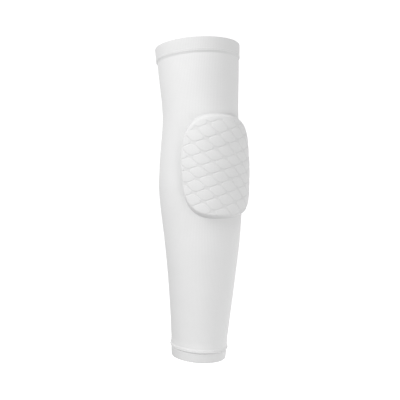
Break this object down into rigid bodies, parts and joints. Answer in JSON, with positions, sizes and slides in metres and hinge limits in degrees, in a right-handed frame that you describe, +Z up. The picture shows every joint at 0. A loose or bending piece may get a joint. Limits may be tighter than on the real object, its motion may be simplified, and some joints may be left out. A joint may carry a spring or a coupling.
{
  "type": "padded elbow sleeve",
  "caption": "White stretch-knit arm sleeve shaped to a slightly bent arm, with turned hems and a moulded elbow pad of slanted diamond cells.",
  "frame": {"origin": "on the arm's axis at the elbow, level with the middle of the pad", "axes": "+Z up the arm to the shoulder, -Y out of the pad, +X across the arm"},
  "size_m": [0.097, 0.113, 0.364],
  "materials": {
    "knit": "white fine-gauge stretch knit, matt with a faint sheen",
    "hem_knit": "the same white knit turned double and sewn with a twin needle",
    "pad_cover": "white stretch cover bonded over moulded foam cells, matt"
  },
  "bodies": {
    "root": {"sleeve_tube": "knit", "upper_hem": "hem_knit", "lower_hem": "hem_knit", "elbow_pad": "pad_cover"}
  },
  "joints": []
}
